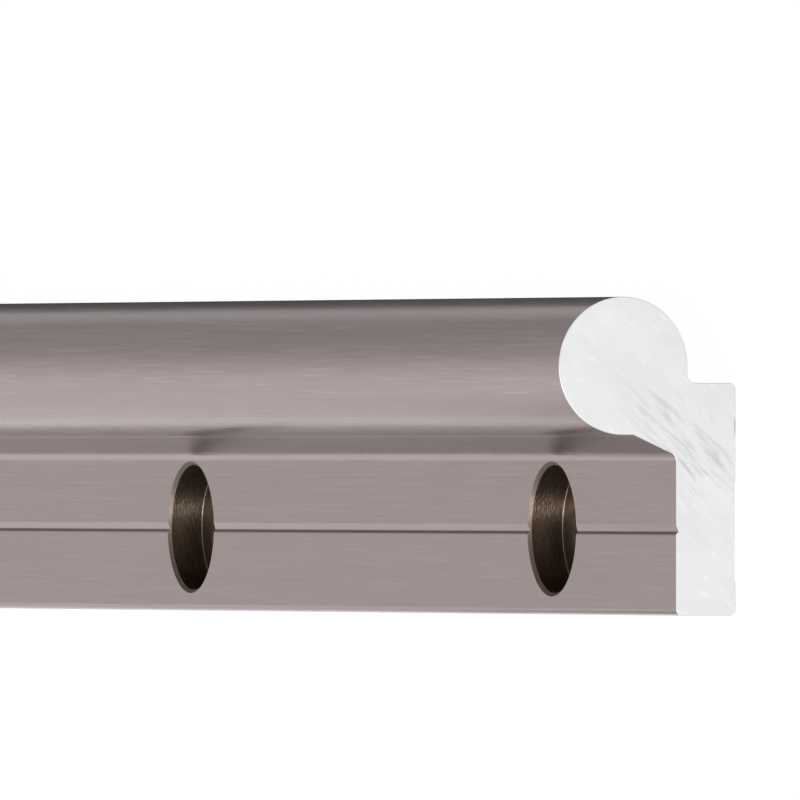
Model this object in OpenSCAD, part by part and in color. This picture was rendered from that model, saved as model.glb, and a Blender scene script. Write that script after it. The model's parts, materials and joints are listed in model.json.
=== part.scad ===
// Side-mounting supported round rail: one extruded aluminium profile in which
// the running round, its arm and the fixing plate are a single piece. Stored
// lying on its mounting face: length along X, plate face up, round towards +Y.

/* [Rail] */
// Length of the rail
rail_length = 320; // [280:10:480]
// Diameter of the running round
round_d = 16; // [14.5:0.5:20]
// Height of the round's axis above the mounting face
axis_height = 14; // [12:0.5:15]

/* [Plate] */
// Width of the mounting plate, from its outer edge to the ledge beside the round
plate_width = 27; // [26.5:0.5:36]
// Thickness of the mounting plate
plate_thickness = 7.4; // [7:0.1:9]
// How far the ledge lies short of the round's axis
ledge_drop = 2; // [1.5:0.25:4]

/* [Arm] */
// Thickness of the arm where it leaves the plate's front face
arm_root = 8.4; // [7.5:0.1:9]
// Straight stretch of the arm's outer side next to the round
arm_flat = 1.3; // [0.6:0.1:2.5]

/* [Rounding] */
// Radius of the plate's outside edges
edge_r = 0.8; // [0.2:0.05:1]
// Radius of the inside corner between the arm and the plate's front face
arm_fillet_r = 1.05; // [0.4:0.05:1.05]
// Radius of the inside corner between the round's back and the ledge
ledge_fillet_r = 1; // [0.4:0.1:1.4]

/* [Fixing holes] */
// Distance between neighbouring fixing holes
hole_pitch = 120; // [60:5:130]
// Least distance from a rail end to a hole's centre
min_end_distance = 20; // [15:1:60]
// Distance of the line of holes from the plate's outer edge
hole_edge_distance = 10; // [9:0.1:10]
// Diameter of the screw's clearance hole
screw_hole_d = 9; // [5.5:0.1:11]
// Diameter of the counterbore for the screw's head
counterbore_d = 15; // [12:0.5:15]
// Depth of the counterbore below the plate's face
counterbore_depth = 4.3; // [1:0.1:6]
// Size of the 45 degree chamfer round the counterbore's mouth
mouth_chamfer = 0.4; // [0.1:0.05:0.45]

/* [Marking groove and back relief] */
// Width of the V-shaped marking groove on the line of holes
groove_width = 1.1; // [0.8:0.1:1.6]
// How much of that width is the groove's steep side, towards the plate's outer edge
groove_steep = 0.32; // [0.2:0.02:0.4]
// Depth of the marking groove
groove_depth = 0.3; // [0.1:0.05:0.4]
// Depth of the shallow relief between the two lands of the mounting face
relief_depth = 0.15; // [0.1:0.05:0.5]
// Width of the narrow land along the plate's outer edge
outer_land = 3.9; // [2:0.1:5]
// Width of the relief
relief_width = 11.8; // [6:0.1:14]

/* [Hidden] */
$fn = 96;
// How far a cutter runs past the surface that it opens, and a fillet into the solid
past = 0.5;

round_r = round_d / 2;
// Across the rail, its centre line is the middle of the whole width
overall_width = plate_width + ledge_drop + round_r;
outer_edge = -overall_width / 2;
ledge = outer_edge + plate_width;
round_axis = ledge + ledge_drop;
hole_line = outer_edge + hole_edge_distance;

// The arm's two sides are tangents of the round: one faces the mounting
// surface, the other faces the plate's outer edge
round_back = axis_height - round_r;
arm_side = round_axis - round_r;
arm_bend = axis_height - arm_flat;
arm_foot = ledge - arm_root;

// Direction up the arm's sloping side, as [across, up], and the way it faces
slope = [arm_side - arm_foot, arm_bend - plate_thickness];
slope_dir = slope / norm(slope);
slope_out = [-slope_dir[1], slope_dir[0]];
// Centre of the fillet that touches both the plate's face and the sloping side
fillet_centre = [
    arm_foot - arm_fillet_r * (1 - slope_dir[0]) / slope_dir[1],
    plate_thickness + arm_fillet_r
];
fillet_end = fillet_centre - arm_fillet_r * slope_out;

// Whole pitches that fit leave equal ends of at least min_end_distance
pitches = floor((rail_length - 2 * min_end_distance) / hole_pitch);
counterbore_floor = plate_thickness - counterbore_depth;

// What is cut off a square corner at the origin to round it. The solid lies
// towards +X and +Y.
module corner_waste(r) {
    difference() {
        translate([-past, -past]) square(r + past);
        translate([r, r]) circle(r);
    }
}

// The plate's section: three edges rounded, the relief and the groove cut in
module plate_section() {
    difference() {
        translate([outer_edge, 0]) square([plate_width, plate_thickness]);
        translate([outer_edge, 0]) corner_waste(edge_r);
        translate([outer_edge, plate_thickness]) mirror([0, 1]) corner_waste(edge_r);
        translate([ledge, 0]) mirror([1, 0]) corner_waste(edge_r);
        translate([outer_edge + outer_land, -past])
            square([relief_width, relief_depth + past]);
        groove_section();
    }
}

// The V, carried on above the plate's face at the same slopes
module groove_section() {
    gentle = groove_width - groove_steep;
    translate([hole_line - groove_width / 2 + groove_steep, plate_thickness])
        polygon([[0, -groove_depth], [2 * gentle, groove_depth], [-2 * groove_steep, groove_depth]]);
}

// The round and the arm that carries it
module round_and_arm_section() {
    translate([round_axis, axis_height]) circle(round_r);
    polygon([
        [round_axis, axis_height],
        [arm_side, axis_height],
        [arm_side, arm_bend],
        [arm_foot, plate_thickness],
        [arm_foot, round_back],
        [round_axis, round_back]
    ]);
}

// Metal left in the inside corner between the plate's face and the arm's slope
module arm_fillet_section() {
    difference() {
        polygon([
            [arm_foot + past, plate_thickness - past],
            fillet_end - past * slope_out,
            fillet_end,
            fillet_centre,
            [fillet_centre[0], plate_thickness - past]
        ]);
        translate(fillet_centre) circle(arm_fillet_r);
    }
}

// Metal left in the inside corner between the ledge and the round's back
module ledge_fillet_section() {
    difference() {
        translate([ledge - past, round_back - ledge_fillet_r])
            square(ledge_fillet_r + past);
        translate([ledge + ledge_fillet_r, round_back - ledge_fillet_r])
            circle(ledge_fillet_r);
    }
}

module rail_section() {
    plate_section();
    round_and_arm_section();
    arm_fillet_section();
    ledge_fillet_section();
}

// One fixing hole: clearance hole, counterbore and the chamfer round its mouth
module fixing_hole() {
    translate([0, 0, -past])
        cylinder(d = screw_hole_d, h = plate_thickness + past);
    translate([0, 0, counterbore_floor])
        cylinder(d = counterbore_d, h = counterbore_depth + past);
    translate([0, 0, plate_thickness - mouth_chamfer])
        cylinder(
            d1 = counterbore_d,
            d2 = counterbore_d + 2 * (mouth_chamfer + past),
            h = mouth_chamfer + past
        );
}

module rail() {
    color([0.62, 0.58, 0.57])
    difference() {
        rotate([90, 0, 90])
            translate([0, 0, -rail_length / 2])
            linear_extrude(rail_length) rail_section();
        for (i = [0 : pitches])
            translate([(i - pitches / 2) * hole_pitch, hole_line, 0]) fixing_hole();
    }
}

rail();
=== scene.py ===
import json
import math

import bpy
import numpy as np
from mathutils import Matrix, Vector


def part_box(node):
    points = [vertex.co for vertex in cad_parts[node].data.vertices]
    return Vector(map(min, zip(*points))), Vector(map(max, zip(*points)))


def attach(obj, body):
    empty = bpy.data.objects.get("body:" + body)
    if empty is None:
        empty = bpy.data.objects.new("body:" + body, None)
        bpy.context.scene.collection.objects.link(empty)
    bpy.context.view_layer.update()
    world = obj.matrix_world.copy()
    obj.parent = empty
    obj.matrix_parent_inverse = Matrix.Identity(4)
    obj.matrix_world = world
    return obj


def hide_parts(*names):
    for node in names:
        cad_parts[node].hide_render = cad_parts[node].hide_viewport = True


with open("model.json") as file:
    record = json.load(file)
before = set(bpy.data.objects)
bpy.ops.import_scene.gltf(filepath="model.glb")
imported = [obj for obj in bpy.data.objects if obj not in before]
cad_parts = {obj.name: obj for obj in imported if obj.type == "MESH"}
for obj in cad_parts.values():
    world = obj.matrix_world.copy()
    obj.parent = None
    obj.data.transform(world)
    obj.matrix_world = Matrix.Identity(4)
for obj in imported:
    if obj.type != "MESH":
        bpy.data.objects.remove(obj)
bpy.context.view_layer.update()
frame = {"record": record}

# ---------------------------------------------------------------------------
# Table top
# A plain white sheet under the rail, wide enough that its edge is never seen.
# It lies a hair below the mounting face, and its own glow keeps it pale.
mm = 0.001
low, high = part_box("rail")
sheet_half, sheet_z = 9.0, low.z - 0.02 * mm
sheet_grey, white_glow = 0.86, 1.08
glow_seen, glow_mirrored = 0.9, 0.056    # share of the glow that is seen, and what metal mirrors of it


def flat_sheet(name, corners):
    """One four-sided face through its corners, as a new object in the scene."""
    mesh = bpy.data.meshes.new(name)
    mesh.from_pydata(corners, [], [(0, 1, 2, 3)])
    made = bpy.data.objects.new(name, mesh)
    bpy.context.scene.collection.objects.link(made)
    return made


def blank_material(name, sheet):
    """Gives a sheet a new material with nothing in it yet. Returns its tree."""
    made = bpy.data.materials.new(name)
    made.use_nodes = True
    made.node_tree.nodes.clear()
    sheet.data.materials.append(made)
    return made.node_tree


def wire(tree, kind, inputs=(), **settings):
    """Adds a shader node: settings are its properties, inputs its sockets, each a value or the
    output that feeds it."""
    made = tree.nodes.new(kind)
    for name, value in settings.items():
        setattr(made, name, value)
    for socket, value in dict(inputs).items():
        if isinstance(value, bpy.types.NodeSocket):
            tree.links.new(value, made.inputs[socket])
        else:
            made.inputs[socket].default_value = value
    return made


table_top = flat_sheet("table_top", [(x * sheet_half, y * sheet_half, sheet_z)
                                     for x, y in ((-1, -1), (1, -1), (1, 1), (-1, 1))])
tree = blank_material("white_sheet", table_top)
ray = wire(tree, "ShaderNodeLightPath")
share = wire(tree, "ShaderNodeMath", {0: ray.outputs["Is Camera Ray"], 1: glow_seen}, operation="MULTIPLY")
matt = wire(tree, "ShaderNodeBsdfDiffuse", {"Color": (sheet_grey, sheet_grey, sheet_grey, 1)})
glow = wire(tree, "ShaderNodeEmission", {"Color": (1, 1, 1, 1), "Strength": white_glow})
mixed = wire(tree, "ShaderNodeMixShader", {0: share.outputs[0], 1: matt.outputs[0], 2: glow.outputs[0]})
mirrored = wire(tree, "ShaderNodeMath", {0: ray.outputs["Is Glossy Ray"], 1: glow_mirrored},
                operation="MULTIPLY")
lift = wire(tree, "ShaderNodeEmission", {"Color": (1, 1, 1, 1), "Strength": mirrored.outputs[0]})
both = wire(tree, "ShaderNodeAddShader", {0: mixed.outputs[0], 1: lift.outputs[0]})
wire(tree, "ShaderNodeOutputMaterial", {"Surface": both.outputs[0]})

# ---------------------------------------------------------------------------
# Studio light
# Long soft bands run beside and above the rail, parallel to it, so each side of
# the profile mirrors one even tone along its length. A soft box above the plate
# and a low lamp beyond the sawn end light the insides of the holes.
studio = bpy.data.worlds.new("studio")
bpy.context.scene.world = studio
studio.use_nodes = True
tree = studio.node_tree
tree.nodes.clear()
direction = wire(tree, "ShaderNodeTexCoord")
parts = wire(tree, "ShaderNodeSeparateXYZ", {0: direction.outputs["Generated"]}).outputs
turned_to = wire(tree, "ShaderNodeMath", {0: parts["Y"], 1: parts["Z"]}, operation="ARCTAN2")
unit = wire(tree, "ShaderNodeMapRange", {"Value": turned_to.outputs[0],
                                         "From Min": -math.pi, "From Max": math.pi})
# degrees from overhead, + towards the round's side, and the band's brightness
band_tones = [(-180, 0.9), (-140, 0.9), (-115, 0.95), (-95, 0.94), (-75, 0.89), (-55, 0.9),
              (-38, 0.94), (-22, 0.93), (-8, 0.84), (8, 0.69), (22, 0.56), (40, 0.48), (60, 0.44),
              (80, 0.4), (105, 0.33), (140, 0.9), (180, 0.9)]
band_strength = 2.0


def grey_ramp(tree, value, easing, tones):
    """Greys that follow a value from 0 to 1: each tone is its place there and its grey."""
    made = wire(tree, "ShaderNodeValToRGB", {0: value})
    made.color_ramp.interpolation = easing
    stops = made.color_ramp.elements
    stops.remove(stops[0])
    stops[0].position, stops[0].color = tones[0][0], (tones[0][1],) * 3 + (1,)
    for place, grey in tones[1:]:
        stops.new(place).color = (grey,) * 3 + (1,)
    return made.outputs[0]


bands = grey_ramp(tree, unit.outputs[0], "B_SPLINE",
                  [((degrees + 180) / 360, tone / band_strength) for degrees, tone in band_tones])
lit = wire(tree, "ShaderNodeBackground", {"Color": bands, "Strength": band_strength})
plain = wire(tree, "ShaderNodeBackground", {"Color": (1, 1, 1, 1), "Strength": white_glow})
ray = wire(tree, "ShaderNodeLightPath")
mixed = wire(tree, "ShaderNodeMixShader", {0: ray.outputs["Is Camera Ray"], 1: lit.outputs[0],
                                           2: plain.outputs[0]})
wire(tree, "ShaderNodeOutputWorld", {"Surface": mixed.outputs[0]})
bpy.context.scene.view_settings.view_transform = "Standard"


def hang_lamp(name, wide, tall, watts, way):
    """A rectangular lamp 1.2 m from the rail's middle along a way, and facing it. The camera
    doesn't see it."""
    light = bpy.data.lights.new(name, "AREA")
    light.shape, light.size, light.size_y, light.energy = "RECTANGLE", wide, tall, watts
    lamp = bpy.data.objects.new(name, light)
    bpy.context.scene.collection.objects.link(lamp)
    way = Vector(way).normalized()
    lamp.matrix_world = Matrix.Translation(way * 1.2) @ way.to_track_quat("Z", "Y").to_matrix().to_4x4()
    lamp.visible_camera = False


hang_lamp("soft_box", 0.45, 0.3, 4.5, (0.28, -0.38, 0.88))
hang_lamp("low_lamp", 0.3, 0.25, 8.0, (0.797, -0.546, 0.268))


def place_on(tree):
    """A point's X, Y and Z, in metres, as three outputs."""
    place = wire(tree, "ShaderNodeTexCoord").outputs["Object"]
    return wire(tree, "ShaderNodeSeparateXYZ", {0: place}).outputs


# A card lies on the table beside the round, black near it and grey further out.
# Only mirrored light meets it: it draws the dark line along the round's far edge.
card_z, card_first, card_last = low.z + 0.3 * mm, -1.5, high.x - 2 * mm
card_in, card_out, black_to = high.y + 0.2 * mm, high.y + 500 * mm, high.y + 30 * mm
side_card = flat_sheet("side_card", [(card_first, card_in, card_z), (card_last, card_in, card_z),
                                     (card_last, card_out, card_z), (card_first, card_out, card_z)])
side_card.visible_camera = side_card.visible_diffuse = side_card.visible_shadow = False
tree = blank_material("card_paper", side_card)
shade = wire(tree, "ShaderNodeMapRange", {"Value": place_on(tree)["Y"], "From Min": black_to,
                                          "From Max": black_to + 4 * mm, "To Min": 0.12, "To Max": 0.55})
dull = wire(tree, "ShaderNodeBsdfDiffuse", {"Color": shade.outputs[0]})
wire(tree, "ShaderNodeOutputMaterial", {"Surface": dull.outputs[0]})

# A thin grey net hangs beside the plate's outer edge, denser towards the +X end.
# Mirrored light passes through it, so the metal darkens a little towards that end.
net_y, net_first = low.y - 42 * mm, -400 * mm
net_fades, net_top = low.z + 60 * mm, low.z + 95 * mm
net_from, net_to = -200 * mm, 0.0      # along X it thickens between these
net_tones = [(0, 0), (0.5, 0.06), (0.78, 0.11), (1, 0.34)]      # place between them, and what it holds back
graded_net = flat_sheet("graded_net", [(net_first, net_y, low.z), (high.x, net_y, low.z),
                                       (high.x, net_y, net_top), (net_first, net_y, net_top)])
graded_net.visible_camera = graded_net.visible_diffuse = graded_net.visible_shadow = False
tree = blank_material("grey_gauze", graded_net)
net_at = place_on(tree)
along_net = wire(tree, "ShaderNodeMapRange", {"Value": net_at["X"], "From Min": net_from,
                                              "From Max": net_to})
weave = grey_ramp(tree, along_net.outputs[0], "EASE", net_tones)
fade = wire(tree, "ShaderNodeMapRange", {"Value": net_at["Z"], "From Min": net_fades, "From Max": net_top,
                                         "To Min": 1.0, "To Max": 0.0})
held = wire(tree, "ShaderNodeMath", {0: weave, 1: fade.outputs[0]}, operation="MULTIPLY")
passed = wire(tree, "ShaderNodeMath", {0: 1.0, 1: held.outputs[0]}, operation="SUBTRACT")
sheer = wire(tree, "ShaderNodeBsdfTransparent", {"Color": passed.outputs[0]})
wire(tree, "ShaderNodeOutputMaterial", {"Surface": sheer.outputs[0]})

# ---------------------------------------------------------------------------
# Camera
# A long lens looks along the rail from its +X end, 21 degrees above the plate,
# with the rail's +Y side upwards.
camera = bpy.data.cameras.new("camera")
camera.lens, camera.sensor_width = 1650, 36
camera.clip_start, camera.clip_end = 0.1, 100
camera_stand = bpy.data.objects.new("camera", camera)
bpy.context.scene.collection.objects.link(camera_stand)
view_tilt, view_away = math.radians(20.92), 4.336
aim_in = 91 * mm                                  # the aim is on the plate's face, this far from the end
look_above, look_right = 6.67 * mm, 0.473 * mm    # and the camera then turns to look this far past it
back = Vector((math.cos(view_tilt), 0, math.sin(view_tilt)))
up = Vector((0, 1, 0))
right = up.cross(back)
aim = Vector((high.x - aim_in, (low.y + high.y) / 2, low.z + 7.4 * mm))
stand = aim + back * view_away
aim += up * look_above + right * look_right
back = (stand - aim).normalized()
right = up.cross(back).normalized()
up = back.cross(right)
camera_stand.matrix_world = Matrix.Translation(stand) @ Matrix((right, up, back)).transposed().to_4x4()
bpy.context.scene.camera = camera_stand

# ---------------------------------------------------------------------------
# Rail: the extruded profile
# One aluminium extrusion: a round running bar on an arm that rises from a flat
# fixing plate. Its outline, drawn in the plane across the rail, is carried
# along X, and everything else is cut into it.
running = next(m for m in frame["record"]["mounts"] if m["name"] == "bearing_round")
round_r = running["dims"]["r_mm"] * mm
round_y, round_z = running["pos_m"][1:]
plate_t = low.z + 7.4 * mm            # the plate's front face
plate_edge = low.y
ledge = round_y - 2 * mm
edge_r = 0.8 * mm
arm_side = round_y - round_r
arm_bend = round_z - 1.3 * mm
arm_foot = ledge - 8.4 * mm
arm_fillet = 1.05 * mm
ledge_fillet = 1 * mm
relief = low.z + 0.15 * mm
relief_out, relief_in = plate_edge + 3.9 * mm, plate_edge + 15.7 * mm
burr = 0.06 * mm                      # edge broken by a file round the sawn ends
round_steps, edge_steps, ledge_steps = 120, 10, 12


def arc(cy, cz, r, first, last, steps, hollow=False):
    """Points of a circle about (cy, cz) at even angles from first to last degrees, and the way
    the surface faces there: away from the centre, or towards it on an inside corner."""
    a = np.radians(np.linspace(first, last, steps + 1))
    way = np.stack([np.cos(a), np.sin(a)], 1)
    return np.array([cy, cz]) + r * way, (-way if hollow else way)


def side(y0, z0, y1, z1):
    """A straight side's two ends. Its outward way is its run turned a quarter to the left."""
    ends = np.array([[y0, z0], [y1, z1]])
    run = (ends[1] - ends[0]) / np.linalg.norm(ends[1] - ends[0])
    return ends, np.tile([-run[1], run[0]], (2, 1))


slope = np.array([arm_side - arm_foot, arm_bend - plate_t])
slope /= np.linalg.norm(slope)
corner_y = arm_foot - arm_fillet * (1 - slope[0]) / slope[1]
corner_z = plate_t + arm_fillet
slope_start = np.array([corner_y, corner_z]) - arm_fillet * np.array([-slope[1], slope[0]])
turn_end = math.degrees(math.atan2(slope_start[1] - corner_z, slope_start[0] - corner_y))

# Clockwise, seen from the +X end: up the arm, over the round and down the back, then round the plate
inner_run = [
    arc(corner_y, corner_z, arm_fillet, -90, turn_end, edge_steps, hollow=True),
    side(*slope_start, arm_side, arm_bend),
    side(arm_side, arm_bend, arm_side, round_z),
    arc(round_y, round_z, round_r, 180, -90, round_steps),
    side(round_y, round_z - round_r, ledge + ledge_fillet, round_z - round_r),
    arc(ledge + ledge_fillet, round_z - round_r - ledge_fillet, ledge_fillet, 90, 180, ledge_steps,
        hollow=True),
    side(ledge, round_z - round_r - ledge_fillet, ledge, low.z + edge_r),
    arc(ledge - edge_r, low.z + edge_r, edge_r, 0, -90, edge_steps),
    side(ledge - edge_r, low.z, relief_in, low.z),
    side(relief_in, low.z, relief_in, relief),
]
outer_run = [
    side(relief_out, relief, relief_out, low.z),
    side(relief_out, low.z, plate_edge + edge_r, low.z),
    arc(plate_edge + edge_r, low.z + edge_r, edge_r, -90, -180, edge_steps),
    side(plate_edge, low.z + edge_r, plate_edge, plate_t - edge_r),
    arc(plate_edge + edge_r, plate_t - edge_r, edge_r, 180, 90, edge_steps),
]
face_in, face_out = corner_y, plate_edge + edge_r     # where the flat front face starts and ends

# ---------------------------------------------------------------------------
# Rail: fixing holes and marking groove
# Three screw holes on one line, each bored through, counterbored and chamfered.
# A fine V groove with a gentle and a steep side marks their line on the plate.
patterns = [m for m in frame["record"]["mounts"] if m["name"].startswith("fixing_holes")]
heads = next(m for m in frame["record"]["mounts"] if m["name"].startswith("head_counterbores"))
hole_x = np.unique(np.round([m["pos_m"][0] + s * m["dims"]["spacing_x_mm"] / 2 * mm
                             for m in patterns for s in (-1, 1)], 6))
hole_y = patterns[0]["pos_m"][1]
bore_r = patterns[0]["dims"]["hole_r_mm"] * mm
head_r, head_z = heads["dims"]["hole_r_mm"] * mm, heads["pos_m"][2]
chamfer = 0.4 * mm
rim_r = head_r + chamfer
groove_half, groove_deep, groove_steep = 0.55 * mm, 0.3 * mm, 0.32 * mm
groove_low = groove_steep - groove_half                # the V's bottom, from the line of holes
gentle_fall = groove_deep / (groove_half - groove_low)
steep_fall = groove_deep / groove_steep


def groove_z(y):
    """Height of the front face at y across the line of holes: the plate's face, or the higher of
    the V's two sides where they lie below it."""
    gentle = gentle_fall * (y - hole_y - groove_low)
    steep = steep_fall * (groove_low - (y - hole_y))
    return plate_t + np.minimum(0, np.maximum(gentle, steep) - groove_deep)


def rim(turn):
    """Radius of a mouth at each turn: the chamfer's top circle, or less where the V cuts the
    chamfer. On the cone a point's radius falls as fast as its height, so each side of the V meets
    it where r = rim - depth at the V's bottom + fall x distance from that bottom."""
    gentle = (rim_r - groove_deep - gentle_fall * groove_low) / (1 - gentle_fall * np.sin(turn))
    steep = (rim_r - groove_deep + steep_fall * groove_low) / (1 + steep_fall * np.sin(turn))
    return np.minimum(rim_r, np.maximum(gentle, steep))


# Turns of a mouth, from -90 degrees (towards -Y) round the +X side and back by the -X side: even
# steps outside the groove, and a few where it cuts the rim
quarter_steps, plain_steps = 27, 5
lip_turn = math.asin(groove_half / rim_r)
low_turn = math.asin(groove_low / (rim_r - groove_deep))
quarter = np.linspace(lip_turn, math.pi / 2, quarter_steps + 1)
steep_turns = np.linspace(-lip_turn, low_turn, 3)
gentle_turns = np.array([low_turn, low_turn / 2, 0, lip_turn / 3, lip_turn * 2 / 3, lip_turn])
right_side = np.concatenate([-quarter[::-1], steep_turns[1:], gentle_turns[1:], quarter[1:]])
turn = np.concatenate([right_side, math.pi - right_side[-2::-1]])
lip = rim_r * math.cos(lip_turn)

# Stations along X from the -X end to the +X end: one for each step of a mouth and a few between
stations, owner, last = [], [], low.x + burr
for i, cx in enumerate(hole_x):
    mouth_x = np.concatenate([-rim_r * np.cos(quarter), rim_r * np.cos(quarter[-2::-1])])
    stations += [np.linspace(last, cx - lip, plain_steps + 1)[:-1], cx + mouth_x]
    owner += [np.full(plain_steps, -1), np.full(len(mouth_x), i)]
    last = cx + lip
stations = np.concatenate(stations + [np.linspace(last, high.x - burr, plain_steps + 1)[1:]])
owner = np.concatenate(owner + [np.full(plain_steps, -1)])
between_holes = list(zip(np.concatenate([[low.x + burr - lip], hole_x]) + lip,
                         np.concatenate([hole_x, [high.x - burr + lip]]) - lip))

# ---------------------------------------------------------------------------
# Rail: its surfaces
# Each is a grid of points with the way it faces and a map that runs across and
# along the profile. All of them are welded into one closed skin.
ANODISED, SAWN, BORED = 0, 1, 2
grids = []


def points(x, y, z):
    """One array of points from coordinates that may be numbers or arrays."""
    return np.stack(np.broadcast_arrays(np.asarray(x, float), y, z), -1)


def keep(grid, ways, finish, across=None, along=None):
    """Keeps a grid. Its map is how far a point is across the profile, and how far along it."""
    across = grid[..., 1] if across is None else across
    along = grid[..., 0] if along is None else along
    grids.append((grid, np.broadcast_to(ways, grid.shape).astype(float),
                  points(along, across, 0)[..., [1, 0]], finish))


# The outline's sides, each carried along the stations: point (x, outline y, outline z)
arc_length = 0.0
for outline, ways in inner_run + outer_run:
    steps = np.concatenate([[0], np.cumsum(np.linalg.norm(np.diff(outline, axis=0), axis=1))])
    keep(points(stations, outline[:, :1], outline[:, 1:]),
         points(0, ways[:, :1], ways[:, 1:]) + 0 * stations[:, None],
         ANODISED, across=arc_length + steps[:, None])
    arc_length += steps[-1]

# Front face: straight lines from each long edge to the groove's edge, or to the mouth's circle
centre = np.where(owner >= 0, hole_x[owner], stations)
reach = np.where(owner >= 0, np.sqrt(np.maximum(rim_r ** 2 - (stations - centre) ** 2, 0)), groove_half)
for sign, edge in ((1, face_in), (-1, face_out)):
    keep(points(stations, np.stack([edge + 0 * reach, hole_y + sign * reach]), plate_t),
         (0, 0, 1), ANODISED)

# Groove: its two sides from mouth to mouth, cut off where each row meets the chamfer
for turns, fall in ((gentle_turns, gentle_fall), (steep_turns, -steep_fall)):
    row_y, row_x = rim(turns) * np.sin(turns), rim(turns) * np.cos(turns)
    way = np.array([0, -fall, 1]) / math.hypot(fall, 1)
    for k, (a, b) in enumerate(between_holes):
        first = a - lip + row_x if k > 0 else a + 0 * row_x
        stop = b + lip - row_x if k < len(hole_x) else b + 0 * row_x
        share = np.linspace(0, 1, plain_steps + 1)
        keep(points((1 - share) * first[:, None] + share * stop[:, None], (hole_y + row_y)[:, None],
                    groove_z(hole_y + row_y)[:, None]), way, ANODISED)


def half_turn(turns):
    """The turns from 0 to 180 degrees, each once, from the -X side to the +X side."""
    return np.unique(np.round(turns[(turns > -1e-9) & (turns < math.pi + 1e-9)], 12))[::-1]


# Relief in the back: straight lines from each long edge to the line of holes, or to the bore's circle
upper, lower = half_turn(turn), half_turn(np.mod(-turn, 2 * math.pi))
for sign, edge, turns in ((1, relief_in, upper), (-1, relief_out, lower)):
    line_x, line_y, edge_x = [], [], []
    for k, (a, b) in enumerate(between_holes):
        line_x.append(np.linspace(a, b, plain_steps + 1))
        line_y.append(np.zeros(plain_steps + 1))
        edge_x.append(line_x[-1])
        if k < len(hole_x):
            line_x.append(hole_x[k] + bore_r * np.cos(turns))
            line_y.append(sign * bore_r * np.sin(turns))
            edge_x.append(hole_x[k] + np.clip(rim_r * np.cos(turns), -lip, lip))
    line_x, line_y, edge_x = (np.concatenate(v) for v in (line_x, line_y, edge_x))
    keep(np.stack([points(edge_x, edge, relief), points(line_x, hole_y + line_y, relief)]),
         (0, 0, -1), ANODISED)

# Holes, turned about their axes: chamfer, counterbore, a small radius at its foot, floor and bore.
# Each ring is a radius and a height at every turn.
chamfer_z, foot, one = plate_t - chamfer, 0.12 * mm, np.ones_like(turn)
foot_turn = np.radians(np.linspace(0, 90, 7))[:, None]
rings = [
    (np.stack([rim(turn), head_r * one]), np.stack([plate_t - rim_r + rim(turn), chamfer_z * one]),
     -math.sqrt(0.5), math.sqrt(0.5)),
    (np.stack([head_r * one] * 2), np.stack([chamfer_z * one, (head_z + foot) * one]), -1, 0),
    (head_r - foot + foot * np.cos(foot_turn) * one, head_z + foot - foot * np.sin(foot_turn) * one,
     -np.cos(foot_turn), np.sin(foot_turn)),
    (np.stack([(head_r - foot) * one, bore_r * one]), np.stack([head_z * one] * 2), 0, 1),
    (np.stack([bore_r * one] * 2), np.stack([head_z * one, relief * one]), -1, 0),
]
for cx in hole_x:
    depth = 0.0
    for r, z, out, rise in rings:
        grid = points(cx + r * np.cos(turn), hole_y + r * np.sin(turn), z)
        fall = np.concatenate([[0], np.cumsum(np.hypot(np.diff(r[:, 0]), np.diff(z[:, 0])))])[:, None]
        keep(grid, points(out * np.cos(turn), out * np.sin(turn), rise * one), BORED,
             across=depth + fall, along=turn * head_r)
        depth += fall[-1, 0]

# Sawn ends: the outline at the broken edge, and set in from it by the burr on the cut itself.
# At a corner the point is set in along the mean of its two sides' ways.
groove_turns = np.concatenate([steep_turns, gentle_turns[1:]])
groove_row = rim(groove_turns) * np.sin(groove_turns) + hole_y
closed = inner_run + [(np.array([[hole_y, relief]]), np.array([[0, -1.0]]))] + outer_run + [
    (np.stack([groove_row, groove_z(groove_row)], 1), np.tile([0, 1.0], (len(groove_row), 1)))]
outline = np.concatenate([p for p, w in closed])
ways = np.concatenate([w for p, w in closed])
twin = np.linalg.norm(outline - np.roll(outline, -1, 0), axis=1) < 1e-9
ways = ways + np.roll(ways, -1, 0) * twin[:, None]
first = ~np.roll(twin, 1)
outline, ways = outline[first], ways[first]
ways /= np.linalg.norm(ways, axis=1)[:, None]
cut_turn = math.radians(45)              # the saw's marks run this way down the cut
cut_ends = []
for x, d in ((high.x, 1), (low.x, -1)):
    full = points(x - d * burr, outline[:, 0], outline[:, 1])
    cut = points(x, *(outline - burr * ways).T)
    ring = np.stack([full, cut])
    way = points(float(d), ways[:, 0], ways[:, 1]) / math.sqrt(2)
    closing = np.arange(len(outline) + 1) % len(outline)
    across = ring[..., 1] * math.cos(cut_turn) - ring[..., 2] * math.sin(cut_turn)
    along = ring[..., 1] * math.sin(cut_turn) + ring[..., 2] * math.cos(cut_turn)
    keep(ring[:, closing], np.stack([way, way])[:, closing], SAWN, across[:, closing], along[:, closing])
    cut_ends.append((cut, np.stack([across[1], along[1]], 1), d))

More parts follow.
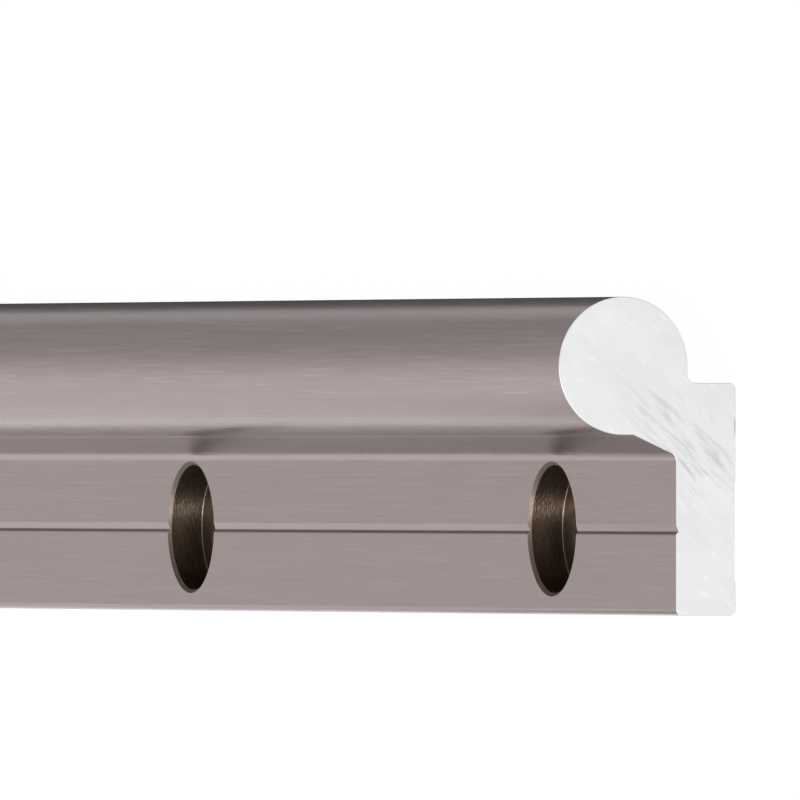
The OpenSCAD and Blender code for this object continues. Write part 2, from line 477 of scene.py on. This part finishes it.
# Welding: points that coincide become one, a four-sided face that folds to three corners becomes
# a triangle, and each corner of each face keeps the exact way that its own surface faces
corner, corner_way, corner_map, finish = [], [], [], []
for grid, way, flat, kind in grids:
    four = [np.stack([v[:-1, :-1], v[:-1, 1:], v[1:, 1:], v[1:, :-1]], 2).reshape(-1, 4, v.shape[-1])
            for v in (grid, way, flat)]
    faces_to = np.cross(four[0][:, 2] - four[0][:, 0], four[0][:, 3] - four[0][:, 1])
    wrong = (faces_to * four[1].mean(1)).sum(1) < 0
    for v in four:
        v[wrong] = v[wrong][:, ::-1]
    corner.append(four[0]), corner_way.append(four[1]), corner_map.append(four[2])
    finish.append(np.full(len(four[0]), kind))
corner, corner_way, corner_map, finish = (
    np.concatenate(v) for v in (corner, corner_way, corner_map, finish))
weld = 2e-7                              # points this close, in metres, are the same
every = np.concatenate([corner.reshape(-1, 3)] + [cut for cut, flat, d in cut_ends])
spots, first, index = np.unique(np.round(every / weld).astype(np.int64), axis=0, return_index=True,
                                return_inverse=True)
spots, index = every[first], index.ravel()
number = index[:len(corner) * 4].reshape(-1, 4)
folded = number == np.roll(number, 1, 1)
quads, threes = folded.sum(1) == 0, folded.sum(1) == 1
faces = number[quads].tolist() + number[threes][~folded[threes]].reshape(-1, 3).tolist()
face_finish = np.concatenate([finish[quads], finish[threes]])
loop_way = [corner_way[quads].reshape(-1, 3), corner_way[threes][~folded[threes]]]
loop_map = [corner_map[quads].reshape(-1, 2), corner_map[threes][~folded[threes]]]
start = len(corner) * 4
for cut, flat, d in cut_ends:
    order = np.arange(len(cut))[::-d]
    faces.append(index[start:start + len(cut)][order].tolist())
    face_finish = np.append(face_finish, SAWN)
    loop_way.append(np.tile([float(d), 0, 0], (len(cut), 1)))
    loop_map.append(flat[order])
    start += len(cut)

rail_mesh = bpy.data.meshes.new("rail_profile")
rail_mesh.from_pydata(spots.tolist(), [], faces)
rail_mesh.polygons.foreach_set("material_index", face_finish.astype(np.int32))
rail_mesh.polygons.foreach_set("use_smooth", np.ones(len(faces), bool))
profile_map = rail_mesh.uv_layers.new(name="profile_map")
profile_map.data.foreach_set("uv", np.concatenate(loop_map).astype(np.float32).ravel())
rail_mesh.normals_split_custom_set(np.concatenate(loop_way).tolist())
rail = bpy.data.objects.new("rail_profile", rail_mesh)
bpy.context.scene.collection.objects.link(rail)
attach(rail, "root")
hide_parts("rail")

# ---------------------------------------------------------------------------
# Rail: hard-anodised skin
# A warm grey-brown oxide film over the extruded surface. The die has drawn
# fine lines along the profile, so it mirrors sharply along its length and
# softly across it.


def finish_of(name, colour, rough, grain):
    """A new metal material with its constant values; grain is how much softer it is across its
    marks than along them. Returns its tree and shader."""
    made = bpy.data.materials.new(name)
    made.use_nodes = True
    tree = made.node_tree
    shader = tree.nodes["Principled BSDF"]
    shader.inputs["Base Color"].default_value = (*colour, 1)
    shader.inputs["Metallic"].default_value = 1.0
    shader.inputs["Roughness"].default_value = rough
    shader.inputs["Anisotropic"].default_value = grain
    across = wire(tree, "ShaderNodeTangent", direction_type="UV_MAP", uv_map="profile_map")
    tree.links.new(across.outputs[0], shader.inputs["Tangent"])
    rail_mesh.materials.append(made)
    return tree, shader


def marks(tree, scale, detail=2.0, roughness=0.5, distortion=0.0, on_map=False, shift=(0, 0, 0)):
    """Noise whose grain is 1/scale metres along each axis of the object, or of the piece's map."""
    if on_map:
        place = wire(tree, "ShaderNodeUVMap", uv_map="profile_map").outputs[0]
    else:
        place = wire(tree, "ShaderNodeTexCoord").outputs["Object"]
    stretch = wire(tree, "ShaderNodeMapping", {"Vector": place, "Scale": scale, "Location": shift})
    noise = wire(tree, "ShaderNodeTexNoise", {"Vector": stretch.outputs[0], "Scale": 1.0, "Detail": detail,
                                              "Roughness": roughness, "Distortion": distortion})
    return noise.outputs["Fac"]


def spread(tree, value, low_out, high_out, low_in=0.3, high_in=0.7):
    """Stretches a value's range to another. Noise runs from about 0.3 to 0.7."""
    return wire(tree, "ShaderNodeMapRange", {"Value": value, "From Min": low_in, "From Max": high_in,
                                             "To Min": low_out, "To Max": high_out}).outputs[0]


def reckon(tree, operation, *values):
    """Folds several values into one by a math operation."""
    total = values[0]
    for value in values[1:]:
        total = wire(tree, "ShaderNodeMath", {0: total, 1: value}, operation=operation).outputs[0]
    return total


def apart(tree, value, place):
    """How far a value is from a place, to either side."""
    return reckon(tree, "ABSOLUTE", reckon(tree, "SUBTRACT", value, place), 0.0)


def shaded(tree, colour, tone):
    """A colour times a tone."""
    return wire(tree, "ShaderNodeVectorMath", {0: colour, "Scale": tone}, operation="SCALE").outputs[0]


def engrave(tree, shader, height, strength, depth):
    """Turns the way that the surface faces by the slopes of a height, for lines too fine for the mesh."""
    bump = wire(tree, "ShaderNodeBump", {"Strength": strength, "Distance": depth, "Height": height})
    tree.links.new(bump.outputs[0], shader.inputs["Normal"])


skin_colour, grazing_tint = (0.374, 0.306, 0.29), (1.0, 0.975, 0.995, 1)
skin, skin_shader = finish_of("hard_anodised_skin", skin_colour, 0.22, 0.6)
skin_shader.inputs["Specular Tint"].default_value = grazing_tint
fine = marks(skin, (90, 3600, 3600), 2.0, 0.6)
coarse = marks(skin, (22, 800, 800), 2.0, 0.55)
patch = marks(skin, (45, 130, 130), 2.0, 0.5)
scratch_glints = marks(skin, (55, 2600, 2600), 1.0, 0.5, shift=(3, 5, 0))
skin_at = place_on(skin)
along_x, across_y, above_z = skin_at["X"], skin_at["Y"], skin_at["Z"]

# The lines are deepest over the round's crown, and fainter towards the plate. Sparse lighter threads among
# them are fine scratches with painted glints
drawn = reckon(skin, "ADD", spread(skin, fine, -0.045, 0.045), spread(skin, coarse, -0.035, 0.035),
               spread(skin, scratch_glints, 0.0, 0.09, 0.57, 0.68))
drawn_depth = spread(skin, across_y, 0.55, 1.2, 6 * mm, 8 * mm)
tone = reckon(skin, "ADD", reckon(skin, "MULTIPLY", drawn, drawn_depth), spread(skin, patch, 0.975, 1.015))

# Lines along the whole rail: their place across and half width in mm, and how
# much darker they are, or lighter where that is below 0. Those at 1.2, -2.56, -3.6
# and -7.73 mm are scores that the die drew. The one at 2.85 mm is painted shade on
# the round where it meets the arm, the one at -8.95 mm is painted shade on the
# groove's steep side, and the one at -0.15 mm is a painted highlight on the fillet
# between arm and plate. The one at 2.33 mm is a lighter line along the top of the arm's slope.
die_lines_and_painted_light = [(2.85, 0.45, 0.13), (2.33, 0.14, -0.75), (1.2, 0.07, 0.06), (-0.15, 0.5, -0.08),
          (-2.56, 0.09, 0.10), (-3.6, 0.25, 0.03), (-7.73, 0.08, 0.03), (-8.95, 0.32, 0.55)]
for place, half, darker in die_lines_and_painted_light:
    line_tone = spread(skin, apart(skin, across_y, place * mm), darker, 0.0, 0.0, half * mm)
    tone = reckon(skin, "SUBTRACT", tone, line_tone)

# Painted shade darkens the hollow under the round, more so towards the +X end. The film there is also
# rougher, where the die's tongue drags
hollow_from = spread(skin, across_y, 0.0, 1.0, 0.35 * mm, 0.5 * mm)
hollow_to = spread(skin, across_y, 1.0, 0.0, arm_side + 0.1 * mm, arm_side + 1.2 * mm)
above_face = spread(skin, above_z, 0.0, 1.0, plate_t, plate_t + 0.2 * mm)
shade_and_dull_along = spread(skin, along_x, 0.36, 0.44, -40 * mm, 40 * mm)
hollow = reckon(skin, "MULTIPLY", hollow_from, hollow_to, above_face, shade_and_dull_along)
tone = reckon(skin, "MULTIPLY", tone, reckon(skin, "SUBTRACT", 1.0, hollow))

# Beside the hollow, painted shade makes a soft dark line on the round that grows stronger towards the +X
# end
painted_shade_line = spread(skin, apart(skin, across_y, 3.85 * mm), 0.26, 0.0, 0.0, 0.62 * mm)
painted_shade_along = spread(skin, along_x, 0.0, 1.0, -22 * mm, 80 * mm)
tone = reckon(skin, "SUBTRACT", tone, reckon(skin, "MULTIPLY", painted_shade_line, painted_shade_along, above_face))
skin.links.new(shaded(skin, skin_colour, tone), skin_shader.inputs["Base Color"])
rough = reckon(skin, "ADD", spread(skin, fine, -0.02, 0.02), spread(skin, coarse, 0.20, 0.24),
               reckon(skin, "MULTIPLY", hollow, 0.25))
skin.links.new(rough, skin_shader.inputs["Roughness"])
engrave(skin, skin_shader, reckon(skin, "ADD", fine, coarse), 0.4, 0.04 * mm)

# ---------------------------------------------------------------------------
# Rail: sawn ends
# The saw has cut through the film to bare, nearly white metal, with fine
# slanting marks, a few grey smears of swarf and coolant, and small bright flecks.
bare_colour = (0.643, 0.645, 0.654)
cut_tree, cut_shader = finish_of("sawn_aluminium", bare_colour, 0.5, 0.3)
hair = marks(cut_tree, (2600, 260, 0), 2.0, 0.6, on_map=True)
smear = marks(cut_tree, (1150, 150, 0), 3.0, 0.6, 0.3, on_map=True)
fleck = marks(cut_tree, (1300, 420, 0), 2.0, 0.5, 0.5, on_map=True, shift=(7, 3, 0))
cloud = marks(cut_tree, (220, 130, 0), 2.0, 0.5, on_map=True, shift=(3.3, 1.7, 0))
# Smears lie thickest across the neck between the round and the plate
cut_map = wire(cut_tree, "ShaderNodeUVMap", uv_map="profile_map").outputs[0]
on_cut = wire(cut_tree, "ShaderNodeSeparateXYZ", {0: cut_map}).outputs
beside_neck = apart(cut_tree, on_cut["X"], -3.2 * mm)
along_neck = apart(cut_tree, on_cut["Y"], 4 * mm)
neck = reckon(cut_tree, "MULTIPLY", spread(cut_tree, beside_neck, 1.0, 0.15, 1.5 * mm, 5 * mm),
              spread(cut_tree, along_neck, 1.0, 0.15, 5 * mm, 12 * mm))
smears = reckon(cut_tree, "MULTIPLY", spread(cut_tree, smear, 0.0, 0.26, 0.5, 0.68), neck)
flecks = spread(cut_tree, fleck, 0.0, 0.07, 0.6, 0.72)

# The cut is darker in a thin trace along the back edge, most of it under the arm
cut_at = place_on(cut_tree)
at_back = spread(cut_tree, cut_at["Z"], 1.0, 0.0, low.z + 0.1 * mm, low.z + 0.26 * mm)
under_arm = spread(cut_tree, apart(cut_tree, cut_at["Y"], 3.5 * mm), 0.45, 0.04, 0.5 * mm, 1.2 * mm)
back_edge_dark = reckon(cut_tree, "MULTIPLY", at_back, under_arm)
clean = reckon(cut_tree, "ADD", spread(cut_tree, hair, 0.99, 1.01), spread(cut_tree, cloud, -0.03, 0.03),
               flecks)
tone = reckon(cut_tree, "SUBTRACT", clean, smears, back_edge_dark)
cut_tree.links.new(shaded(cut_tree, bare_colour, tone), cut_shader.inputs["Base Color"])
cut_tree.links.new(spread(cut_tree, smear, 0.46, 0.54), cut_shader.inputs["Roughness"])
engrave(cut_tree, cut_shader, hair, 0.2, 0.02 * mm)

# ---------------------------------------------------------------------------
# Rail: machined holes
# Bored and turned after extrusion, then anodised, with turning marks round
# each wall; their nearly black colour is painted shade for the dark inside of
# each hole. The chamfer is cut finer and is lighter, and a thin ring at the
# counterbore's foot is lighter still.
bore_colour_with_shade, lighter_ring_colour = (0.117, 0.085, 0.062), (0.067, 0.061, 0.06)
bore_tree, bore_shader = finish_of("turned_aluminium", bore_colour_with_shade, 0.38, 0.5)
turned = marks(bore_tree, (7000, 700, 0), 2.0, 0.6, on_map=True)
chatter = marks(bore_tree, (2600, 900, 0), 2.0, 0.6, 0.3, on_map=True)
up_z = place_on(bore_tree)["Z"]
on_chamfer = spread(bore_tree, up_z, 0.0, 1.0, chamfer_z - 0.02 * mm, chamfer_z + 0.02 * mm)
# A thin ring at the counterbore's foot is made lighter, by 1.6 times the chamfer's lift
foot_from = spread(bore_tree, up_z, 0.0, 1.0, head_z + 0.005 * mm, head_z + 0.02 * mm)
foot_to = spread(bore_tree, up_z, 1.0, 0.0, head_z + foot, head_z + foot + 0.05 * mm)
on_foot = reckon(bore_tree, "MULTIPLY", foot_from, foot_to)
lighter_rings = reckon(bore_tree, "ADD", on_chamfer, reckon(bore_tree, "MULTIPLY", on_foot, 1.6))
wall_tone = reckon(bore_tree, "ADD", spread(bore_tree, turned, 1.0, 1.3, 0.42, 0.72),
                   spread(bore_tree, chatter, -0.02, 0.12))
wall, ring_lift = shaded(bore_tree, bore_colour_with_shade, wall_tone), shaded(bore_tree, lighter_ring_colour, lighter_rings)
bored = wire(bore_tree, "ShaderNodeVectorMath", {0: wall, 1: ring_lift}, operation="ADD")
bore_tree.links.new(bored.outputs[0], bore_shader.inputs["Base Color"])
rough = reckon(bore_tree, "ADD", spread(bore_tree, chatter, 0.44, 0.32),
               reckon(bore_tree, "MULTIPLY", on_chamfer, 0.14))
bore_tree.links.new(rough, bore_shader.inputs["Roughness"])
engrave(bore_tree, bore_shader, reckon(bore_tree, "ADD", turned, chatter), 0.7, 0.06 * mm)
